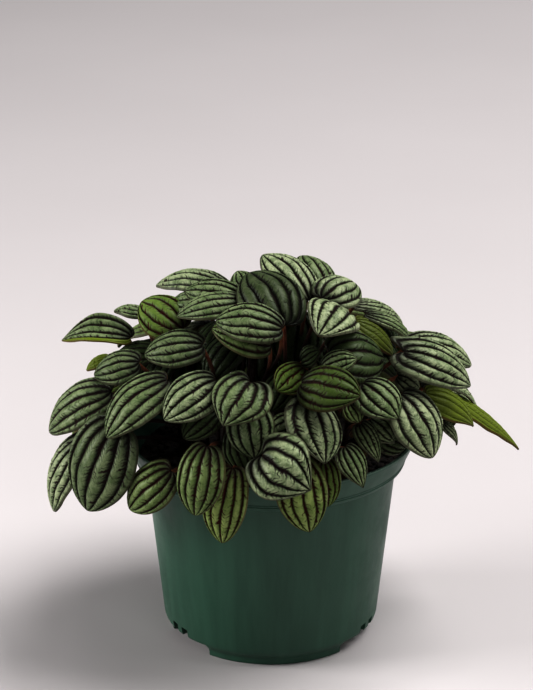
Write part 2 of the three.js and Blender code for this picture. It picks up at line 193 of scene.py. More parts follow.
# Beside the veins: partly their own brownish colour, partly painted shade in their grooves
VEIN_HALO_AND_SHADE = ((27, 26, 22), (50, 40, 22))
VEIN = ((30, 10, 12), (62, 16, 12))
UPPER_MARGIN = ((50, 44, 35), (72, 40, 28))
BLADE_BASE = (16, 18, 11)
UPPER_SHADE = (12, 20, 10)
UNDER_GREEN = ((66, 78, 36), (104, 116, 38))
UNDER_VEIN = ((60, 34, 24), (84, 92, 34))
UNDER_BLUSH = (92, 46, 34)
UNDER_SHADE = (30, 36, 14)
UNDER_MARGIN = (70, 30, 22)
STALK_RED = ((92, 48, 34), (132, 84, 58))
# Painted shade: the near black of a stalk below its top, inside the plant
STALK_PAINTED_SHADE = (20, 10, 8)
CROWN_BROWN = ((70, 40, 28), (96, 84, 50))
POT_GREEN = ((43, 76, 61), (51, 85, 69))
POT_DUST = (66, 88, 74)
# Painted highlight along the rim's top edge
POT_RIM_HIGHLIGHT = (120, 146, 130)
PEAT = ((22, 17, 14), (66, 50, 38))
DAMP_PEAT = (20, 16, 13)
FLOOR_PALE = ((180, 175, 175), (186, 181, 181))

# Each leafy stem: its name, its foot, and its leaves. A leaf has the point where its stalk joins the blade,
# its tip, its width, its tone, and how it is rolled, arched and cupped where that is unusual.
LEAFY_STEMS = [
    ("leafy_stem_front_left", (-34, -28), [
        ((-51, -63, 162), (-81, -69, 134), 28, "plain"),
        ((-76, -66, 140), (-92, -62, 92), 40, "shaded", {"roll": -18}),
        ((-80, -42, 148), (-113, -26, 120), 28, "plain"),
        ((-94, -45, 123), (-111, -38, 81), 28, "silver"),
        ((-49, -82, 122), (-70, -74, 98), 23, "green"),
        ((-66, -38, 162), (-89, -32, 153), 22, "shaded"),
        ((-84, -5, 152), (-95, -2, 144), 11, "turned"),
    ]),
    ("leafy_stem_front_middle_left", (-24, -42), [
        ((-27, -73, 166), (-52, -80, 148), 26, "silver"),
        ((-31, -89, 138), (-37, -95, 104), 25, "green"),
        ((-27, -66, 147), (-43, -72, 135), 18, "painted_shade"),
        ((-34, -45, 174), (-63, -41, 167), 24, "shaded"),
    ]),
    ("leafy_stem_front_middle", (-5, -46), [
        ((-10, -81, 168), (-23, -95, 151), 30, "plain", {"lobe": 1.3, "fall": 0.88}),
        ((-19, -86, 125), (-24, -88, 86), 23, "young_painted_light"),
        ((-4, -96, 136), (19, -108, 123), 34, "silver", {"lobe": 1.3, "fall": 0.88}),
        ((-13, -72, 153), (-8, -84, 130), 24, "shaded"),
        ((-18, -74, 140), (-12, -80, 120), 16, "painted_shade"),
    ]),
    ("leafy_stem_front_middle_right", (14, -44), [
        ((12, -84, 128), (19, -88, 92), 26, "young_painted_light"),
        ((26, -78, 126), (28, -80, 102), 16, "young"),
        ((20, -74, 154), (26, -92, 130), 31, "silver", {"lobe": 1.3, "fall": 0.8, "roll": -20, "cup": 0.45}),
        ((14, -69, 141), (-1, -77, 137), 18, "plain"),
        ((36, -83, 135), (45, -89, 116), 15, "plain", {"fall": 1.0}),
        ((15, -72, 164), (43, -86, 163), 26, "young_dark"),
    ]),
    ("leafy_stem_front_right", (36, -34), [
        ((45, -68, 162), (62, -78, 148), 25, "plain"),
        ((64, -62, 154), (80, -68, 123), 33, "painted_highlight"),
        ((53, -60, 132), (67, -56, 123), 15, "painted_shade"),
        ((49, -64, 142), (61, -66, 130), 16, "plain", {"fall": 1.0}),
        ((44, -70, 142), (53, -76, 124), 13, "plain", {"fall": 1.0}),
        ((38, -74, 154), (43, -78, 146), 12, "green"),
    ]),
    ("leafy_stem_right", (46, -8), [
        ((66, -52, 173), (100, -40, 150), 27, "silver", {"lobe": 1.3, "fall": 0.88}),
        ((63, -46, 158), (74, -44, 150), 16, "silver"),
        ((90, -22, 139), (129, -8, 102), 18, "turned", {"fall": 1.0, "roll": -15, "arch": 0.05}),
        ((78, -38, 145), (103, -30, 124), 20, "turned", {"fall": 1.1}),
        ((88, -30, 126), (95, -28, 113), 9, "silver", {"fall": 1.2}),
        ((77, -22, 144), (105, -14, 129), 13, "silver", {"fall": 1.1, "roll": -35}),
    ]),
    ("leafy_stem_middle_right", (24, -14), [
        ((29, -55, 173), (56, -43, 166), 32, "painted_shade"),
        ((25, -60, 167), (42, -64, 174), 16, "plain"),
        ((69, -30, 169), (102, -18, 153), 22, "silver"),
        ((43, -25, 179), (62, -19, 158), 20, "turned_dark"),
        ((48, -16, 180), (73, -6, 159), 14, "plain"),
        ((42, -4, 181), (68, 12, 164), 15, "silver"),
        ((30, -36, 150), (35, -51, 138), 15, "painted_shade"),
        ((50, -16, 168), (66, -24, 146), 26, "inner"),
    ]),
    ("leafy_stem_middle", (6, -18), [
        ((7, -47, 185), (-11, -17, 202), 34, "deep"),
        ((35, -35, 186), (23, -67, 187), 28, "painted_highlight", {"lobe": 1.0, "fall": 0.65, "arch": 0.27}),
        ((16, -56, 166), (3, -64, 157), 18, "young"),
        ((15, -50, 167), (24, -52, 174), 12, "painted_shade"),
        ((26, -27, 192), (42, -9, 194), 26, "silver"),
        ((10, -40, 156), (0, -59, 144), 19, "painted_shade"),
    ]),
    ("leafy_stem_middle_left", (-16, -14), [
        ((5, -64, 190), (-27, -60, 192), 24, "plain"),
        ((0, -60, 180), (-29, -54, 186), 24, "green"),
        ((-14, -24, 190), (-43, -16, 192), 20, "plain", {"roll": -20}),
        ((-13, -31, 192), (-47, -29, 183), 22, "plain"),
        ((-11, -14, 188), (-17, -2, 198), 15, "plain"),
        ((-16, -26, 172), (-32, -34, 150), 26, "inner"),
    ]),
    ("leafy_stem_left", (-44, -2), [
        ((-72, -8, 164), (-108, 4, 158), 19, "lime_below", {"fall": 1.0, "roll": -8, "cup": -0.5}),
        ((-65, 20, 167), (-82, 24, 167), 18, "plain"),
        ((-45, -22, 174), (-66, -4, 182), 25, "young"),
        ((-56, -16, 159), (-81, -10, 153), 18, "painted_shade"),
        ((-23, -19, 185), (-52, -5, 181), 20, "plain", {"roll": -15}),
        ((-24, -3, 191), (-59, 13, 185), 23, "silver"),
        ((-50, -12, 158), (-62, -24, 136), 26, "inner"),
    ]),
    ("leafy_stem_top", (6, 10), [
        ((19, -21, 189), (-4, 6, 204), 28, "painted_highlight"),
        ((28, -1, 187), (17, 22, 198), 24, "plain"),
        ((-12, 14, 179), (-44, 28, 166), 28, "plain"),
        ((28, 12, 175), (56, 30, 158), 24, "green"),
        ((8, 28, 178), (12, 62, 162), 29, "plain"),
        ((2, 5, 176), (-22, 11, 168), 21, "green"),
        ((36, 2, 167), (53, 12, 155), 18, "painted_shade"),
        ((13, -6, 177), (11, -14, 149), 28, "inner"),
        ((0, -2, 161), (-1, -10, 135), 24, "inner"),
    ]),
]

# The stems behind, whose leaves lie over a dome. A leaf has its azimuth, the elevation of its stalk's end,
# the elevation of its tip, its width and its tone.
BACK_STEMS = [
    ("leafy_stem_right_back", (46, 16), [
        (30, 18, -2, 31, "green"),
        (51, 20, -6, 32, "plain"),
        (6, 32, 8, 28, "silver"),
        (26, 40, 14, 34, "plain"),
        (14, 47, 22, 30, "green"),
    ]),
    ("leafy_stem_back_right", (24, 38), [
        (73, 18, -10, 35, "plain"),
        (94, 20, -8, 33, "green"),
        (50, 38, 11, 32, "silver"),
        (76, 40, 14, 36, "plain"),
        (54, 52, 30, 34, "silver"),
    ]),
    ("leafy_stem_back_left", (-10, 42), [
        (116, 18, -10, 36, "silver"),
        (139, 20, -8, 34, "plain"),
        (101, 38, 11, 33, "green"),
        (124, 40, 14, 34, "silver"),
        (92, 50, 26, 33, "plain"),
        (116, 62, 42, 28, "plain"),
    ]),
    ("leafy_stem_left_back", (-38, 24), [
        (162, 18, -10, 35, "green"),
        (186, 20, -8, 32, "plain"),
        (150, 38, 11, 33, "silver"),
        (180, 30, 6, 26, "young"),
        (134, 56, 33, 34, "plain"),
        (152, 50, 27, 24, "green"),
    ]),
]

# Each tone of leaf: how young and silvery its upper face is, how much painted shade darkens both its faces,
# how lime its under face is, how much of the blade shows that face above (0.5 for a hem along one side, 1 for
# all), and how red that face is
TONES = {
    "plain": (0.1, 0.6, 0.0, 0.2, 0.0, 0.3),
    "silver": (0.0, 1.0, 0.0, 0.2, 0.0, 0.3),
    "green": (0.5, 0.5, 0.0, 0.4, 0.0, 0.2),
    "shaded": (0.1, 0.6, 0.27, 0.2, 0.0, 0.3),
    # A painted highlight: a silver share above 1 lightens the upper face as if it caught more light
    "painted_highlight": (0.0, 1.25, 0.0, 0.2, 0.0, 0.3),
    "deep": (0.2, 0.6, 0.75, 0.2, 0.0, 0.3),
    "young": (1.0, 0.35, 0.0, 0.8, 0.0, 0.2),
    # Painted light: young leaves given a paler, more silvery upper face, as if lit
    "young_painted_light": (0.9, 1.0, 0.0, 0.8, 0.0, 0.2),
    "young_dark": (0.9, 0.3, 0.55, 0.3, 0.0, 0.4),
    "painted_shade": (0.3, 0.3, 0.63, 0.0, 0.0, 0.6),
    "inner": (0.3, 0.2, 0.9, 0.0, 0.0, 0.6),
    "lime_below": (0.1, 0.6, 0.0, 1.0, 0.5, 0.0),
    "turned": (0.5, 0.0, 0.0, 0.8, 1.0, 0.0),
    "turned_dark": (0.2, 0.0, 0.4, 0.5, 1.0, 0.1),
}

# Small leaves deep inside, which close the view into the plant. Each has its stem, the two ends of its blade,
# its width and its roll. Their inner tone is mostly painted shade.
INNER_LEAVES = [
    ("leafy_stem_left", (-28, 4, 168), (-38, -6, 150), 22, 0),
    ("leafy_stem_top", (-12, 16, 151), (-18, 8, 129), 25, 0),
    ("leafy_stem_left", (-59, 6, 153), (-70, -6, 138), 21, -30),
    ("leafy_stem_left", (-47, 3, 158), (-53, -7, 134), 31, -55),
    ("leafy_stem_middle_right", (25, 2, 162), (30, -10, 144), 20, 0),
    ("leafy_stem_right", (44, 4, 145), (50, -8, 128), 22, 0),
    ("leafy_stem_right", (55, 6, 172), (64, -3, 157), 18, 0),
]

# What each point of a leafy stem is part of
UPPER_FACE, MARGIN, UNDER_FACE, STALK, CROWN = 0.0, 0.5, 1.0, 2.0, 3.0

# The numbers that each point carries to the leaf's material: three in each set, and its part
MARK_SETS = ("place", "leaf", "tone", "below")
MARKS = 3 * len(MARK_SETS) + 1


def unit(vector):
    return vector / np.linalg.norm(vector)


def turned_about(vector, axis, degrees):
    """The vector turned about a unit axis"""
    turn = math.radians(degrees)
    return (vector * math.cos(turn) + np.cross(axis, vector) * math.sin(turn)
            + axis * axis.dot(vector) * (1 - math.cos(turn)))


def dome_point(azimuth, elevation, reach):
    a, e = math.radians(azimuth), math.radians(elevation)
    direction = np.array((math.cos(e) * math.cos(a), math.cos(e) * math.sin(a), math.sin(e)))
    return HEART + direction * DOME_RADII * reach


def relative_width(leaf, u):
    """The blade's width at u, as a share of its widest"""
    widest = WIDTH_RISE / (WIDTH_RISE + leaf.fall)
    peak = widest ** WIDTH_RISE * (1 - widest) ** leaf.fall
    return u ** WIDTH_RISE * (1 - u) ** leaf.fall / peak


def stripe_place(side):
    """How far across its stripe a point lies, from 0 at one vein to 1 at the next"""
    place = np.zeros_like(side)
    for low, high in zip(VEINS, VEINS[1:]):
        inside = (side >= low) & (side <= high)
        place = np.where(inside, (side - low) / (high - low), place)
    return place


class Leaf:
    """A leaf's place and form, as the frame has them, and the small irregularities that are its own. A point
    of its blade has u, from 0 at the leafstalk to 1 at the tip, and its line, from -1 to 1 across."""

    def __init__(self, start, tip, width, tone, form, seed):
        self.start = np.array(start, dtype=float)
        end = np.array(tip, dtype=float)
        self.length = np.linalg.norm(end - self.start)
        self.along = unit(end - self.start)
        outward = (self.start + end) / 2 - HEART
        normal = unit(outward - self.along * outward.dot(self.along))
        self.normal = turned_about(normal, self.along, form.get("roll", 0))
        self.across = np.cross(self.normal, self.along)
        self.half = width / 2
        self.arch = form.get("arch", USUAL_ARCH)
        self.cup = form.get("cup", USUAL_CUP)
        self.tone = TONES[tone]
        draw = random.Random(seed)
        self.seed = draw.random()
        self.fall = form.get("fall", USUAL_FALL) * draw.uniform(*FALL_RANGE)
        self.lobe = form.get("lobe", USUAL_LOBE) * draw.uniform(*LOBE_RANGE)
        self.phases = [draw.uniform(0, TURN) for _ in range(6)]
        self.sway = draw.uniform(*SWAY_RANGE)

    def across_blade(self, u, line):
        """Where a line along the blade lies across it, from -1 to 1, and how much of that a step of it takes.
        A line is numbered as the veins are, and it bows out to the tip and wanders a little."""
        rise = np.clip((u - VEIN_BOW_START) / (1 - VEIN_BOW_START), 0, 1)
        bow = VEIN_BOW * rise * rise * (3 - 2 * rise)
        slow, quick = VEIN_WANDER_WAVES
        wander = VEIN_WANDER * np.sin(math.pi * u) * (
            np.sin(TURN * slow * u + self.phases[5])
            + 0.7 * np.sin(TURN * quick * u + self.phases[4] + np.sign(line) * 0.9)
        )
        free = 1 - line * line
        step = 1 + bow * (1 - 3 * line * line) - 2 * wander * line
        return line * (1 + bow * free) + wander * free, step

    def vein_distance(self, u, line):
        """How far a point is from the nearest vein, in mm"""
        to_vein = np.min([np.abs(np.abs(line) - vein) for vein in VEINS[:3]], axis=0)
        return to_vein * relative_width(self, u) * self.half * self.across_blade(u, line)[1]

    def blade(self, u, line, detail):
        """Points of the blade's middle surface. Detail is 1 with puckers, waves and sway and 0 without."""
        width = relative_width(self, u)
        v = self.across_blade(u, line)[0]
        side = np.abs(line)
        spread = v * width
        reach = u - self.lobe * v * v * np.sqrt(u) * (1 - u) ** LOBE_FADE
        stripe = stripe_place(side)
        pillow = (4 * stripe * (1 - stripe)) ** PILLOW_SHARPNESS
        bent = np.maximum(reach, 0) + LOBE_DROOP * np.minimum(reach, 0)
        height = (self.arch * self.length * 4 * bent * (1 - bent)
                  - self.cup * self.half * spread * spread
                  + PILLOW_HEIGHT * self.half * np.sqrt(width) * pillow)
        run = reach * self.length
        rise = np.clip(width * RELIEF_RISE, 0, 1)
        slant = run - TICK_SLOPE * self.vein_distance(u, line)
        pucker = np.sin(slant * TURN / PUCKER_PITCH + self.phases[0])
        pucker = pucker * np.sin(run * PUCKER_BEAT + self.phases[1] + np.sign(v) * 1.3)
        wave = np.sin(run * TURN / MARGIN_PITCH + self.phases[2] + np.sign(v) * self.phases[3])
        roll = np.sin(run * TURN / (self.length * MARGIN_ROLL) + self.phases[4])
        height = height + detail * rise * (
            PUCKER_HEIGHT * pucker * pillow
            + MARGIN_WAVE * wave * side ** 3
            + MARGIN_WAVE * roll * v * side
        )
        sideways = self.half * spread + detail * self.sway * self.length * 4 * u * (1 - u)
        return (self.start + self.along * run[..., None] + self.across * sideways[..., None]
                + self.normal * height[..., None])


def leaf_of(row, seed):
    """A leaf from its row, which gives its two ends or else its place over the dome"""
    if isinstance(row[0], tuple):
        start, tip, width, tone = row[:4]
        form = row[4] if len(row) > 4 else {}
    else:
        azimuth, stalk_elevation, tip_elevation, width, tone = row
        start = dome_point(azimuth, stalk_elevation, STALK_REACH)
        tip = dome_point(azimuth, tip_elevation, TIP_REACH)
        form = {}
    return Leaf(start, tip, width, tone, form, seed)


def linked(name, data):
    """A new object of the scene"""
    made = bpy.data.objects.new(name, data)
    bpy.context.scene.collection.objects.link(made)
    return made


def placed(name, mesh, material):
    mesh.materials.clear()
    mesh.materials.append(material)
    return linked(name, mesh)


def mesh_of(name, points, polygon_sets):
    """A mesh from its points and arrays of polygons"""
    mesh = bpy.data.meshes.new(name)
    mesh.vertices.add(len(points))
    mesh.vertices.foreach_set("co", np.ascontiguousarray(points, dtype=np.float32).ravel())
    loops = np.concatenate([polygons.ravel() for polygons in polygon_sets])
    sizes = np.concatenate([np.full(len(polygons), polygons.shape[1]) for polygons in polygon_sets])
    starts = np.concatenate(([0], np.cumsum(sizes)[:-1]))
    mesh.loops.add(len(loops))
    mesh.loops.foreach_set("vertex_index", loops.astype(np.int32))
    mesh.polygons.add(len(sizes))
    mesh.polygons.foreach_set("loop_start", starts.astype(np.int32))
    mesh.update(calc_edges=True)
    mesh.validate()
    mesh.shade_smooth()
    return mesh


def points_of(mesh):
    points = np.zeros(len(mesh.vertices) * 3, dtype=np.float32)
    mesh.vertices.foreach_get("co", points)
    return points.reshape(-1, 3)


def stack_faces(steps, sides):
    """Faces of a stack of rings, whose first and last point come after them: quads and triangles"""
    ring = np.arange(steps * sides).reshape(steps, sides)
    beside = np.roll(ring, -1, axis=1)
    quads = np.stack((ring[:-1], beside[:-1], beside[1:], ring[1:]), axis=-1).reshape(-1, 4)
    head = np.stack((beside[0], ring[0], np.full(sides, steps * sides)), axis=-1)
    tail = np.stack((ring[-1], beside[-1], np.full(sides, steps * sides + 1)), axis=-1)
    return quads, np.concatenate((head, tail))


def marks_of(shape, place, leaf, tone, part):
    """The numbers of a body's points: u, v and the half width there, its leaf's three, its tone and part"""
    marks = np.zeros((*shape, MARKS))
    for index, value in enumerate(place):
        marks[..., index] = value
    marks[..., 3:6] = leaf
    marks[..., 6:12] = tone
    marks[..., MARKS - 1] = part
    return marks


class Skin:
    """Closed bodies, each a stack of rings with a point at both ends, gathered for one piece"""

    def __init__(self):
        self.points, self.quads, self.corners, self.marks = [], [], [], []
        self.count = 0

    def add(self, rings, first, last, marks):
        """rings is (steps, sides, 3) and marks is (steps, sides, MARKS)"""
        quads, corners = stack_faces(*rings.shape[:2])
        points = np.concatenate((rings.reshape(-1, 3), [first, last]))
        a, b, c = (points[corners[:, k]] for k in range(3))
        volume = np.einsum("ij,ij->i", a, np.cross(b, c)).sum()
        a, b, c, d = (points[quads[:, k]] for k in range(4))
        volume += np.einsum("ij,ij->i", a, np.cross(b, c) + np.cross(c, d)).sum()
        if volume < 0:
            quads, corners = quads[:, ::-1], corners[:, ::-1]
        ends = np.stack((marks[0].mean(axis=0), marks[-1].mean(axis=0)))
        self.points.append(points)
        self.quads.append(quads + self.count)
        self.corners.append(corners + self.count)
        self.marks.append(np.concatenate((marks.reshape(-1, MARKS), ends)))
        self.count += len(points)

    def piece(self, name, material):
        points = np.concatenate(self.points) * MM
        mesh = mesh_of(name, points, [np.concatenate(self.quads), np.concatenate(self.corners)])
        marks = np.concatenate(self.marks).astype(np.float32)
        for index, mark_set in enumerate(MARK_SETS):
            attribute = mesh.attributes.new(mark_set, "FLOAT_VECTOR", "POINT")
            attribute.data.foreach_set("vector", marks[:, 3 * index:3 * index + 3].ravel())
        attribute = mesh.attributes.new("part", "FLOAT", "POINT")
        attribute.data.foreach_set("value", marks[:, MARKS - 1].copy())
        return placed(name, mesh, material)


def add_blade(skin, leaf):
    """The blade as one closed body: its upper face, its margin and its under face"""
    turns = np.linspace(0, math.pi, BLADE_ROWS + 2)[1:-1]
    u = ((1 - np.cos(turns)) / 2)[:, None]
    v = np.array(VEIN_COLUMNS)[None, :]
    middle = leaf.blade(u, v, 1.0)
    width = relative_width(leaf, u)
    valley = np.exp(-(leaf.vein_distance(u, v) / GROOVE_WIDTH) ** 2)
    groove = (GROOVE_DEPTH * valley * np.clip(width * GROOVE_RISE, 0, 1))[..., None]
    thickness = EDGE_THICKNESS + (BLADE_THICKNESS - EDGE_THICKNESS) * (1 - np.abs(v) ** 4)
    half_thick = np.broadcast_to(thickness / 2, middle.shape[:2])[..., None]
    upper = middle + leaf.normal * (half_thick - groove)
    under = middle - leaf.normal * (half_thick + groove * UNDER_GROOVE)
    outward = leaf.across * EDGE_ROUND
    right = middle[:, -1] + outward
    left = middle[:, 0] - outward
    rings = np.concatenate((upper, right[:, None], under[:, ::-1], left[:, None]), axis=1)

    columns = middle.shape[1]
    across = np.concatenate((v[0], [1.0], v[0, ::-1], [-1.0]))
    part = np.concatenate((
        np.full(columns, UPPER_FACE), [MARGIN], np.full(columns, UNDER_FACE), [MARGIN],
    ))
    half_here = width * leaf.half * leaf.across_blade(u, across[None, :])[1]
    marks = marks_of(rings.shape[:2], (u, across, half_here), (leaf.length, leaf.half, leaf.seed),
                     leaf.tone, part)
    ends = leaf.blade(np.array([[0.0], [1.0]]), np.array([[0.0]]), 0.0)[:, 0]
    skin.add(rings, ends[0], ends[1], marks)


def tube_rings(route, radii, sides):
    """Round rings along a route, with no twist between them"""
    tangents = np.gradient(route, axis=0)
    tangents /= np.linalg.norm(tangents, axis=1, keepdims=True)
    arm = unit(np.cross(tangents[0], (0.31, 0.87, 0.39)))
    turns = np.linspace(0, TURN, sides, endpoint=False)
    rings = []
    for centre, tangent, radius in zip(route, tangents, radii):
        arm = unit(arm - tangent * arm.dot(tangent))
        other = np.cross(tangent, arm)
        rings.append(centre + radius * (np.cos(turns)[:, None] * arm + np.sin(turns)[:, None] * other))
    return np.array(rings)


def add_stalk(skin, leaf, root):
    """The leafstalk from inside the blade down to its root on the stem"""
    join = leaf.blade(np.array([[STALK_JOIN]]), np.array([[0.0]]), 1.0)[0, 0]
    top = join - leaf.normal * (BLADE_THICKNESS / 2 + STALK_NECK)
    arrival = unit(leaf.normal + leaf.along * STALK_LEAN)
    rise = np.linalg.norm(root - top)
    knots = [top, top - arrival * rise * STALK_BEND, root + np.array((0, 0, rise * STALK_BEND)), root]
    t = np.linspace(0, 1, STALK_STEPS + 1)[:, None]
    route = ((1 - t) ** 3 * knots[0] + 3 * t * (1 - t) ** 2 * knots[1]
             + 3 * t * t * (1 - t) * knots[2] + t ** 3 * knots[3])
    route = np.concatenate(([join - leaf.normal * 0.1], route))
    place = np.concatenate(([0.0], t[:, 0]))
    # A little thicker towards the root and where it meets the blade
    radii = STALK_RADIUS * (0.92 + 0.2 * place ** 2 + 0.1 * np.exp(-(place / 0.04) ** 2))
    rings = tube_rings(route, radii, STALK_SIDES)
    marks = marks_of(rings.shape[:2], (place[:, None], np.linspace(-1, 1, STALK_SIDES), 1.0),
                     (rise, leaf.half, leaf.seed), leaf.tone, STALK)
    skin.add(rings, route[0], route[-1], marks)


def roots_of(foot, leaves):
    """Where the leafstalks stand on the stem: a ring, in the order of their leaves round it"""
    directions = [math.atan2(leaf.start[1] - foot[1], leaf.start[0] - foot[0]) for leaf in leaves]
    order = sorted(range(len(leaves)), key=lambda i: directions[i])
    roots = []
    for i in range(len(leaves)):
        turn = directions[order[0]] + TURN * order.index(i) / len(leaves)
        roots.append(np.array((
            foot[0] + ROOT_RING * math.cos(turn), foot[1] + ROOT_RING * math.sin(turn), ROOT_HEIGHT,
        )))
    return roots


def add_crown(skin, foot, seed):
    """The short thick stem that the leafstalks stand on, ringed with the scars of old leaves"""
    draw = random.Random(seed)
    phases = [draw.uniform(0, TURN) for _ in range(3)]
    heights = np.linspace(SOIL_HEIGHT + STEM_TOP - STEM_DEPTH, SOIL_HEIGHT + STEM_TOP, CROWN_ROWS)
    turns = np.linspace(0, TURN, CROWN_SIDES, endpoint=False)
    h, a = np.meshgrid(heights, turns, indexing="ij")
    rise = (h - heights[0]) / (heights[-1] - heights[0])
    # Ringed by scars, a little uneven round about, and rounded off at the top
    radius = STEM_RADIUS * (0.86 + 0.1 * np.cos((h - SOIL_HEIGHT) * 1.9 + phases[0])
                            + 0.05 * np.cos(3 * a + phases[1]) + 0.04 * np.cos(5 * a + h + phases[2]))
    radius = radius * (1 - 0.35 * np.clip((rise - 0.8) / 0.2, 0, 1) ** 2)
    rings = np.stack((foot[0] + radius * np.cos(a), foot[1] + radius * np.sin(a), h), axis=-1)
    marks = marks_of(h.shape, (rise, np.cos(a), 1.0), (STEM_DEPTH, STEM_RADIUS, draw.random()), 0.0, CROWN)
    low = np.array((foot[0], foot[1], heights[0]))
    high = np.array((foot[0], foot[1], heights[-1] + 0.5))
    skin.add(rings, low, high, marks)


def paint(colour):
    """A colour from its red, green and blue on a screen, 0 to 255"""
    def linear(value):
        share = value / 255
        return share / 12.92 if share <= 0.04045 else ((share + 0.055) / 1.055) ** 2.4
    return (*(linear(value) for value in colour), 1.0)


class Finish:
    """A material and short calls that add nodes to it"""

    def __init__(self, name):
        self.material = bpy.data.materials.new(name)
        self.material.use_nodes = True
        self.tree = self.material.node_tree
        self.shader = self.tree.nodes["Principled BSDF"]

    def feed(self, socket, value):
        if isinstance(value, bpy.types.NodeSocket):
            self.tree.links.new(value, socket)
        else:
            socket.default_value = value

    def add(self, kind, inputs=None, **settings):
        node = self.tree.nodes.new(kind)
        for key, value in settings.items():
            setattr(node, key, value)
        for key, value in (inputs or {}).items():
            self.feed(node.inputs[key], value)
        return node

    def math(self, operation, *values):
        node = self.add("ShaderNodeMath", dict(enumerate(values)), operation=operation)
        return node.outputs[0]

    plus = partialmethod(math, "ADD")
    minus = partialmethod(math, "SUBTRACT")
    times = partialmethod(math, "MULTIPLY")
    over = partialmethod(math, "DIVIDE")
    larger = partialmethod(math, "MAXIMUM")
    smaller = partialmethod(math, "MINIMUM")
    passes = partialmethod(math, "GREATER_THAN")
    size = partialmethod(math, "ABSOLUTE")

    def smooth(self, value, low, high, start=0.0, end=1.0):
        """Runs smoothly from start to end as the value goes from low to high"""
        inputs = {"Value": value, "From Min": low, "From Max": high, "To Min": start, "To Max": end}
        node = self.add("ShaderNodeMapRange", inputs, interpolation_type="SMOOTHSTEP")
        return node.outputs["Result"]

    def mix(self, share, first, second):
        node = self.add("ShaderNodeMix", {0: share, 6: first, 7: second}, data_type="RGBA")
        return node.outputs[2]

    def between(self, share, colours):
        """A colour between the two of a pair"""
        return self.mix(share, paint(colours[0]), paint(colours[1]))

    def noise(self, vector, scale=1.0, detail=2.0, roughness=0.5):
        inputs = {"Vector": vector, "Scale": scale, "Detail": detail, "Roughness": roughness}
        return self.add("ShaderNodeTexNoise", inputs).outputs["Fac"]

    def vector(self, x, y, z):
        return self.add("ShaderNodeCombineXYZ", {"X": x, "Y": y, "Z": z}).outputs[0]

    def split(self, vector):
        parts = self.add("ShaderNodeSeparateXYZ", {0: vector})
        return parts.outputs[0], parts.outputs[1], parts.outputs[2]

    def marks(self, name):
        """The three numbers that the mesh holds at each point under this name"""
        return self.split(self.add("ShaderNodeAttribute", attribute_name=name).outputs["Vector"])

    def place(self):
        """The point in the frame"""
        return self.add("ShaderNodeTexCoord").outputs["Object"]

    def bump(self, height, strength, distance):
        inputs = {"Height": height, "Strength": strength, "Distance": distance}
        return self.add("ShaderNodeBump", inputs).outputs["Normal"]

    def finish(self, **sockets):
        for name, value in sockets.items():
            self.feed(self.shader.inputs[name.replace("_", " ")], value)
        return self.material


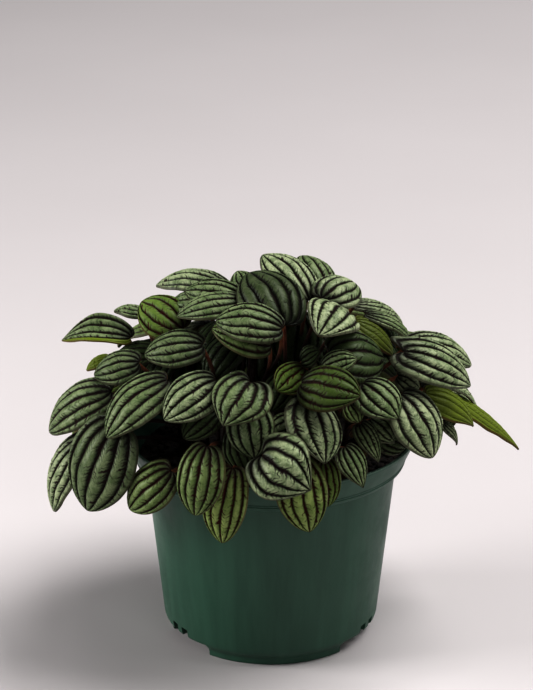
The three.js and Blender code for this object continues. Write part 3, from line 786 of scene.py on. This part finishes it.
def leaf_finish():
    """Silvery green stripes between wide, feathered, purple-brown veins, an olive under face and red stalks,
    with painted shade by the veins, inside the plant and down the stalks, and painted highlights on some
    leaves
    """
    f = Finish("peperomia_leaf")
    u, v, half_here = f.marks("place")
    length, half, seed = f.marks("leaf")
    young, silver, painted_shade = f.marks("tone")
    lime, turned, red = f.marks("below")
    part = f.add("ShaderNodeAttribute", attribute_name="part").outputs["Fac"]

    # How far a point is from a vein: across the blade, in mm, and from 0 at it to 1 in the stripe's middle
    side = f.size(v)
    gap = side
    for place in VEINS[1:3]:
        gap = f.smaller(gap, f.size(f.minus(side, place)))
    near = f.times(gap, half_here)
    reach = STRIPE_REACH
    for place, more in zip(VEINS[1:3], STRIPE_REACH_STEPS):
        reach = f.plus(reach, f.times(f.passes(side, place), more))
    away = f.over(gap, reach)
    run = f.times(u, length)

    # Each side of each vein has its own ragged edge and its own fine dark ticks, which lean to the tip
    stripe_id = f.times(f.math("SIGN", v), 3.1)
    for place in VEIN_SIDE_STARTS:
        stripe_id = f.plus(stripe_id, f.passes(side, place))
    leaf_id = f.times(seed, 91.0)
    row = f.plus(f.times(stripe_id, 5.3), leaf_id)
    bend = f.noise(f.vector(f.times(run, 0.5), f.times(near, 0.7), leaf_id), detail=3.0)
    slant = f.plus(f.minus(run, f.times(near, TICK_SLOPE)), f.times(bend, TICK_BEND))
    ragged = f.noise(f.vector(f.times(slant, 0.9), row, 0.0), detail=3.0, roughness=0.7)
    shift = f.noise(f.vector(f.times(slant, 0.4), row, 3.0))
    phase = f.plus(f.over(slant, TICK_PITCH), f.times(shift, TICK_SCATTER))
    tick_id = f.math("ROUND", phase)
    beside = f.times(f.size(f.minus(phase, tick_id)), TICK_PITCH)
    chance = f.add("ShaderNodeTexWhiteNoise", {"Vector": f.vector(tick_id, row, 5.0)}).outputs["Value"]
    along_tick = f.over(away, f.plus(0.25, f.times(f.math("POWER", chance, 1.6), 1.5)))
    tick_width = f.smooth(along_tick, 0.0, 1.0, 0.3, -0.1)
    tick = f.smooth(f.minus(beside, tick_width), -0.08, 0.12, 0.95, 0.0)
    # A crease beside each tick: it dents the bump below, and its painted shade darkens the colour
    valley = f.times(f.smooth(beside, 0.0, 0.75, 1.0, 0.0), f.smooth(along_tick, 0.3, 1.6, 1.0, 0.0))

    # The veins, which thin out to the sides and the tip, with a darker green beside them that is partly their
    # own colour and partly painted shade in their grooves
    vein_width = f.times(f.times(half, f.smooth(u, 0.0, 1.0, *VEIN_WIDTH)),
                         f.smooth(side, 0.0, 0.5, 1.0, SIDE_VEIN_SHARE))
    ragged_width = f.times(vein_width, f.plus(f.times(f.minus(ragged, 0.5), RAGGEDNESS), 0.85))
    fading = f.times(f.smooth(side, 0.1, 0.4), f.smooth(u, 0.7, 0.97, 0.0, 0.5))
    past = f.plus(f.minus(near, ragged_width), fading)
    veined = f.larger(f.smooth(past, -0.3, 0.35, 1.0, 0.0), tick)
    halo_and_shade = f.smooth(past, 0.0, f.times(half, f.smooth(u, 0.0, 0.8, *HALO_WIDTH)), 0.65, 0.0)
    margin = f.smooth(f.times(f.minus(1.0, side), half_here), 0.15, 0.5, 0.7, 0.0)

    def blotches(closeness, leaf_step, detail):
        """Noise that lies on the blade, with its own pattern on each leaf"""
        across = f.times(f.times(v, half_here), closeness)
        where = f.vector(f.times(run, closeness), across, f.times(seed, leaf_step))
        return f.noise(where, detail=detail, roughness=0.6)

    mottle = blotches(0.22, 57.0, 3.0)
    grain = blotches(1.7, 23.0, 2.0)
    centre = f.smooth(away, 0.0, 0.5)
    frost = f.plus(f.smooth(mottle, 0.35, 0.62, 0.35, 0.85), f.smooth(grain, 0.35, 0.65, -0.13, 0.15))
    frost = f.times(frost, f.times(centre, silver))

    # Darker green towards the veins: partly the leaf's own colour, partly painted shade on the sides of the
    # pillowed stripes
    green = f.mix(centre, f.between(young, GREEN_BY_VEIN), f.between(young, STRIPE_GREEN))
    upper = f.mix(frost, green, f.between(young, SILVERY))
    # Painted shade in the creases beside the ticks
    upper = f.mix(f.times(valley, 0.5), upper, f.between(young, PAINTED_CREASE_SHADE))
    # Painted shade, in part: a darker band beside each vein, where its groove would be shaded
    upper = f.mix(halo_and_shade, upper, f.between(young, VEIN_HALO_AND_SHADE))
    upper = f.mix(veined, upper, f.between(young, VEIN))
    upper = f.mix(margin, upper, f.between(young, UPPER_MARGIN))
    upper = f.mix(f.smooth(u, 0.0, 0.3, 0.6, 0.0), upper, paint(BLADE_BASE))
    # Painted shade: the tone's third share darkens the upper face towards a shadow colour
    upper = f.mix(f.times(painted_shade, 0.8), upper, paint(UPPER_SHADE))

    blush = f.times(f.smooth(mottle, 0.35, 0.7), red)
    under = f.mix(blush, f.between(lime, UNDER_GREEN), paint(UNDER_BLUSH))
    under_vein = f.smooth(f.over(near, vein_width), 0.3, 1.0, 0.45, 0.0)
    under = f.mix(under_vein, under, f.between(lime, UNDER_VEIN))
    # Painted shade on the under face, from the same share
    under = f.mix(f.times(painted_shade, 0.6), under, paint(UNDER_SHADE))
    under = f.mix(margin, under, paint(UNDER_MARGIN))

    hem = f.times(f.passes(turned, 0.25), f.smooth(v, 0.5, 0.54))
    olive = f.larger(f.smooth(part, 0.35, 0.65), f.larger(f.passes(turned, 0.75), hem))
    blade = f.mix(olive, upper, under)
    streaks = f.noise(f.vector(f.times(run, 0.15), v, f.times(seed, 33.0)))
    stalk = f.between(f.smooth(streaks, 0.3, 0.7), STALK_RED)
    # Painted shade: below its top the stalk turns near black, as it would in the plant's shade
    stalk = f.mix(f.smooth(u, 0.04, 0.3, 0.0, 0.97), stalk, paint(STALK_PAINTED_SHADE))
    crown = f.between(f.smooth(f.noise(f.place(), 600.0), 0.35, 0.65), CROWN_BROWN)
    colour = f.mix(f.passes(part, (UNDER_FACE + STALK) / 2), blade, stalk)
    colour = f.mix(f.passes(part, (STALK + CROWN) / 2), colour, crown)

    pebble = f.noise(f.place(), 1600.0, detail=1.0)
    relief = f.minus(f.times(pebble, 0.35), f.times(veined, 0.7))
    relief = f.minus(relief, f.times(valley, 0.6))
    return f.finish(
        Base_Color=colour,
        Roughness=f.smooth(veined, 0.0, 1.0, 0.42, 0.7),
        Specular_IOR_Level=0.15,
        Normal=f.bump(relief, 0.6, 0.0005),
    )


def rounded(profile):
    """The profile's points, where a corner that has a third number is rounded off by it"""
    points = []
    for i, corner in enumerate(profile):
        here = np.array(corner[:2], dtype=float)
        reach = corner[2] if len(corner) > 2 else 0
        if not reach:
            points.append(tuple(here))
            continue
        before = here + unit(np.array(profile[i - 1][:2]) - here) * reach
        after = here + unit(np.array(profile[(i + 1) % len(profile)][:2]) - here) * reach
        for step in range(ROUNDING_STEPS + 1):
            t = step / ROUNDING_STEPS
            points.append(tuple((1 - t) ** 2 * before + 2 * t * (1 - t) * here + t * t * after))
    return points


def lathe(name, profile, sides):
    """A body of revolution from a profile that starts and ends on the axis"""
    radii, heights = np.array(profile[1:-1]).T[..., None]
    turns = np.linspace(0, TURN, sides, endpoint=False)
    rings = np.stack((radii * np.cos(turns), radii * np.sin(turns), np.repeat(heights, sides, 1)), axis=-1)
    ends = [(0, 0, profile[0][1]), (0, 0, profile[-1][1])]
    points = np.concatenate((rings.reshape(-1, 3), ends)) * MM
    return mesh_of(name, points, stack_faces(len(radii), sides))


def wedge(azimuth, spread, inner, outer, low, high):
    """A closed block of a ring between two radii and two heights"""
    turns = np.radians(np.linspace(azimuth - spread / 2, azimuth + spread / 2, WEDGE_STEPS + 1))
    section = [(inner, low), (outer, low), (outer, high), (inner, high)]
    points = [[(r * math.cos(t), r * math.sin(t), z) for r, z in section] for t in turns]
    index = np.arange((WEDGE_STEPS + 1) * 4).reshape(WEDGE_STEPS + 1, 4)
    beside = np.roll(index, -1, axis=1)
    quads = np.stack((index[1:], beside[1:], beside[:-1], index[:-1]), axis=-1).reshape(-1, 4)
    caps = np.array([index[0], index[-1][::-1]])
    return mesh_of("cutter", np.array(points).reshape(-1, 3) * MM, [quads, caps])


def box_mesh(size, centre, azimuth):
    """A closed box turned about the pot's axis, whose centre is a radius and a height"""
    corners = []
    for z in (-0.5, 0.5):
        for x, y in ((-0.5, -0.5), (0.5, -0.5), (0.5, 0.5), (-0.5, 0.5)):
            corners.append((centre[0] + x * size[0], y * size[1], centre[1] + z * size[2]))
    turn = math.radians(azimuth)
    points = [(x * math.cos(turn) - y * math.sin(turn), x * math.sin(turn) + y * math.cos(turn), z)
              for x, y, z in corners]
    quads = np.array([(3, 2, 1, 0), (4, 5, 6, 7), (0, 1, 5, 4), (1, 2, 6, 5), (2, 3, 7, 6), (3, 0, 4, 7)])
    return mesh_of("cutter", np.array(points) * MM, [quads])


def carved(mesh, tools):
    """The mesh after each tool's body is joined to it or cut from it"""
    body = linked("carved", mesh)
    helpers = []
    for operation, tool in tools:
        helper = linked("tool", tool)
        helpers.append(helper)
        step = body.modifiers.new("step", "BOOLEAN")
        step.operation = operation
        step.solver = "EXACT"
        step.object = helper
    bpy.context.view_layer.update()
    ready = body.evaluated_get(bpy.context.evaluated_depsgraph_get())
    result = bpy.data.meshes.new_from_object(ready)
    for helper in (*helpers, body):
        bpy.data.objects.remove(helper)
    return result


def recess_roof(azimuth, gap):
    """The block round a drain recess, which the soil leaves free"""
    return wedge(
        azimuth,
        RECESS_SPREAD + RECESS_WALL_SPREAD + 2 * gap,
        RECESS_INNER_RADIUS - WALL - gap,
        BASE_RADIUS - WALL / 2,
        WALL / 2,
        WALL_FOOT_HEIGHT + WALL + gap,
    )


def pot_mesh():
    """The pot: its profile goes up the outside, over the rim and down the inside"""
    profile = rounded([
        (0, 0),
        (BASE_RADIUS, 0, 1.2),
        (BASE_RADIUS, WALL_FOOT_HEIGHT - 3.6, 2.0),
        (WALL_FOOT_RADIUS, WALL_FOOT_HEIGHT + 0.4, 2.0),
        (STEP_RADIUS, STEP_HEIGHT, 0.5),
        (STEP_RADIUS + 2.0, STEP_HEIGHT + 0.3, 0.8),
        (BAND_RADIUS - 0.2, BAND_HEIGHT - 0.6, 0.7),
        (BAND_RADIUS + 0.5, BAND_HEIGHT + 1.1, 0.15),
        (BAND_RADIUS + 0.25, BAND_HEIGHT + 1.4, 0.15),
        (BAND_RADIUS + 0.85, BAND_HEIGHT + 2.3, 0.15),
        (BAND_RADIUS + 0.65, BAND_HEIGHT + 2.6, 0.15),
        (RIM_RADIUS - 0.5, RIM_HEIGHT - 1.8, 0.4),
        (RIM_RADIUS, RIM_HEIGHT, 0.7),
        (RIM_RADIUS - WALL, RIM_HEIGHT, 0.5),
        (BAND_RADIUS - WALL, BAND_HEIGHT + WALL, 1.0),
        (STEP_RADIUS - WALL, STEP_HEIGHT + WALL, 0.6),
        (WALL_FOOT_RADIUS - WALL, WALL_FOOT_HEIGHT + WALL, 0.6),
        (BASE_RADIUS - WALL, WALL_FOOT_HEIGHT + WALL, 0.4),
        (BASE_RADIUS - WALL, WALL, 0.6),
        (0, WALL),
    ])
    tools = []
    for azimuth in RECESS_AZIMUTHS:
        tools.append(("UNION", recess_roof(azimuth, 0)))
        recess = wedge(azimuth, RECESS_SPREAD, RECESS_INNER_RADIUS, RIM_RADIUS, -WALL, WALL_FOOT_HEIGHT)
        tools.append(("DIFFERENCE", recess))
        for offset in DRAIN_OFFSETS:
            height = WALL_FOOT_HEIGHT + DRAIN_SIZE[2] / 2 - DRAIN_SINK
            tools.append(("DIFFERENCE", box_mesh(DRAIN_SIZE, (DRAIN_RADIUS, height), azimuth + offset)))
    mesh = carved(lathe("pot_body", profile, POT_SIDES), tools)
    mesh.shade_smooth()
    mesh.set_sharp_from_angle(angle=math.radians(SHARP_ANGLE))
    return mesh


def pot_finish():
    """Dark green moulded plastic, a little streaked and dusty, with a painted highlight along the rim's top
    edge
    """
    f = Finish("pot_green_plastic")
    where = f.place()
    x, y, height = f.split(where)
    streaks = f.noise(f.vector(f.times(x, 140.0), f.times(y, 140.0), f.times(height, 9.0)),
                      detail=4.0, roughness=0.6)
    dust = f.noise(where, 55.0, detail=5.0, roughness=0.65)
    base = f.between(f.smooth(streaks, 0.3, 0.7), POT_GREEN)
    base = f.mix(f.smooth(dust, 0.52, 0.8, 0.0, 0.12), base, paint(POT_DUST))
    # Painted highlight: a paler line along the rim's top edge, broken up by noise
    rim = f.smooth(height, (RIM_HEIGHT - 0.9) * MM, (RIM_HEIGHT - 0.2) * MM, 0.0, 0.6)
    painted_rim_highlight = f.times(rim, f.smooth(f.noise(where, 160.0), 0.35, 0.6, 0.5, 1.0))
    base = f.mix(painted_rim_highlight, base, paint(POT_RIM_HIGHLIGHT))
    speckle = f.noise(where, 900.0, detail=2.0)
    return f.finish(
        Base_Color=base,
        Roughness=f.plus(f.smooth(dust, 0.35, 0.75, 0.36, 0.5), f.times(speckle, 0.05)),
        Specular_IOR_Level=0.42,
        Normal=f.bump(f.plus(speckle, f.times(streaks, 0.6)), 0.12, 0.0003),
    )


def lump(x, y):
    """Uneven height of the soil, in mm"""
    place = Vector((x, y, 0.0))
    return sum(height * noise.noise(place * closeness) for height, closeness in LUMP_WAVES)


def soil_mesh():
    """The filling of the pot, rough on top"""
    edge = BAND_RADIUS - WALL - CLEARANCE
    radii = edge * (1 - np.arange(SOIL_RINGS) / SOIL_RINGS)
    places = (0, SOIL_SHOULDER_RADIUS, edge)
    rises = np.interp(radii, places, (SOIL_CROWN, SOIL_SHOULDER_RISE, -SOIL_EDGE_DROP))
    inset = WALL + CLEARANCE
    floor_radius = BASE_RADIUS - inset - 2
    profile = [
        (0, inset),
        (floor_radius, inset),
        (floor_radius, WALL_FOOT_HEIGHT + inset),
        (WALL_FOOT_RADIUS - inset, WALL_FOOT_HEIGHT + inset),
        (STEP_RADIUS - inset, STEP_HEIGHT + WALL),
        *zip(radii, SOIL_HEIGHT + rises),
        (0, SOIL_HEIGHT + SOIL_CROWN),
    ]
    mesh = lathe("soil_body", profile, SOIL_SIDES)
    points = points_of(mesh)
    for point in points:
        if point[2] > (SOIL_HEIGHT - 1.0) * MM:
            point[2] += lump(point[0] / MM, point[1] / MM) * MM
    mesh.vertices.foreach_set("co", points.ravel())
    return carved(mesh, [("DIFFERENCE", recess_roof(azimuth, CLEARANCE)) for azimuth in RECESS_AZIMUTHS])


def crumbs():
    """Loose crumbs: small uneven closed bodies, pressed into the soil's top"""
    draw = random.Random(CRUMB_SEED)
    golden = math.pi * (3 - math.sqrt(5))
    ball = []
    for k in range(CRUMB_CORNERS):
        z = 1 - 2 * (k + 0.5) / CRUMB_CORNERS
        level = math.sqrt(1 - z * z)
        ball.append((level * math.cos(golden * k), level * math.sin(golden * k), z))
    grown = bmesh.new()
    for _ in range(CRUMB_COUNT):
        radius = (BAND_RADIUS - WALL - CRUMB_EDGE) * math.sqrt(draw.random())
        turn = draw.uniform(0, TURN)
        x, y = radius * math.cos(turn), radius * math.sin(turn)
        size = draw.choice(CRUMB_SIZES) * draw.uniform(0.8, 1.2)
        stretch = (draw.uniform(0.8, 1.7), draw.uniform(0.6, 1.0), draw.uniform(0.45, 0.8))
        spin = draw.uniform(0, math.pi)
        dome = SOIL_SHOULDER_RISE * (1 - radius / BAND_RADIUS)
        z = SOIL_HEIGHT + dome + lump(x, y) + size * CRUMB_RISE
        points = []
        for corner in ball:
            jag = size * draw.uniform(0.75, 1.15)
            px, py, pz = (along * reach * jag for along, reach in zip(corner, stretch))
            points.append(grown.verts.new((
                (x + px * math.cos(spin) - py * math.sin(spin)) * MM,
                (y + px * math.sin(spin) + py * math.cos(spin)) * MM,
                (z + pz) * MM,
            )))
        bmesh.ops.convex_hull(grown, input=points)
    mesh = bpy.data.meshes.new("crumbs")
    grown.to_mesh(mesh)
    grown.free()
    return mesh


def merged(meshes):
    """Several meshes as one"""
    points, polygons, count = [], {}, 0
    for mesh in meshes:
        points.append(points_of(mesh))
        for polygon in mesh.polygons:
            corners = tuple(k + count for k in polygon.vertices)
            polygons.setdefault(len(corners), []).append(corners)
        count += len(mesh.vertices)
    return mesh_of("merged", np.concatenate(points), [np.array(group) for group in polygons.values()])


def soil_finish():
    """Nearly black, damp peat with browner crumbs"""
    f = Finish("potting_mix")
    where = f.place()
    grain = f.noise(where, 420.0, detail=6.0, roughness=0.7)
    patch = f.noise(where, 60.0, detail=3.0)
    colour = f.between(f.smooth(grain, 0.42, 0.72), PEAT)
    colour = f.mix(f.smooth(patch, 0.35, 0.7, 0.0, 0.6), colour, paint(DAMP_PEAT))
    return f.finish(
        Base_Color=colour,
        Roughness=f.smooth(grain, 0.3, 0.7, 0.95, 0.7),
        Normal=f.bump(grain, 0.8, 0.0008),
    )


def dressed(piece, node):
    """The piece rides on the frame and stands for its node"""
    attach(piece, "root")
    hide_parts(node)


leaf_material = leaf_finish()
seed = 0
for name, foot, rows in LEAFY_STEMS + BACK_STEMS:
    leaves = []
    for row in rows:
        seed += 1
        leaves.append(leaf_of(row, seed))
    skin = Skin()
    add_crown(skin, foot, seed)
    roots = roots_of(foot, leaves)
    for stem, start, tip, width, roll in INNER_LEAVES:
        if stem == name:
            seed += 1
            leaves.append(Leaf(start, tip, width, "inner", {"roll": roll}, seed))
            roots.append(np.array((*foot, ROOT_HEIGHT)))
    for leaf, root in zip(leaves, roots):
        add_blade(skin, leaf)
        add_stalk(skin, leaf, root)
    dressed(skin.piece(f"{name}_leaves", leaf_material), name)

dressed(placed("pot_shell", pot_mesh(), pot_finish()), "pot")
dressed(placed("soil_filling", merged([soil_mesh(), crumbs()]), soil_finish()), "soil")

floor_corners = np.array(((-1, -1, 0), (1, -1, 0), (1, 1, 0), (-1, 1, 0))) * FLOOR_SIZE / 2
floor_mesh = mesh_of("floor", floor_corners, [np.array([(0, 1, 2, 3)])])
floor_look = Finish("pale_floor")
tint = floor_look.noise(floor_look.place(), 3.0, detail=3.0)
floor = placed("floor", floor_mesh, floor_look.finish(
    Base_Color=floor_look.between(tint, FLOOR_PALE),
    Roughness=0.75,
))

for name, size, power, place, aim_height in LIGHTS:
    soft_box = bpy.data.lights.new(name, "AREA")
    soft_box.shape = "RECTANGLE"
    soft_box.size, soft_box.size_y = size
    soft_box.energy = power
    light = linked(name, soft_box)
    light.location = place
    light.rotation_euler = (Vector((0, 0, aim_height)) - Vector(place)).to_track_quat("-Z", "Y").to_euler()

world = bpy.data.worlds.new("studio")
world.use_nodes = True
background = world.node_tree.nodes["Background"].inputs
background["Color"].default_value = WORLD_COLOUR
background["Strength"].default_value = WORLD_STRENGTH
bpy.context.scene.world = world
view = bpy.context.scene.view_settings
view.view_transform = "Standard"
view.exposure = EXPOSURE
view.gamma = GAMMA

pitch = math.radians(CAMERA_PITCH)
camera_data = bpy.data.cameras.new("camera")
camera_data.lens = CAMERA_LENS
camera_data.sensor_width = CAMERA_SENSOR
camera_data.clip_end = CAMERA_CLIP_END
camera = linked("camera", camera_data)
back = Vector((0, -math.cos(pitch), math.sin(pitch)))
camera.location = Vector(CAMERA_TARGET) * MM + back * CAMERA_DISTANCE * MM
camera.rotation_euler = (math.pi / 2 - pitch, 0, 0)
bpy.context.scene.camera = camera
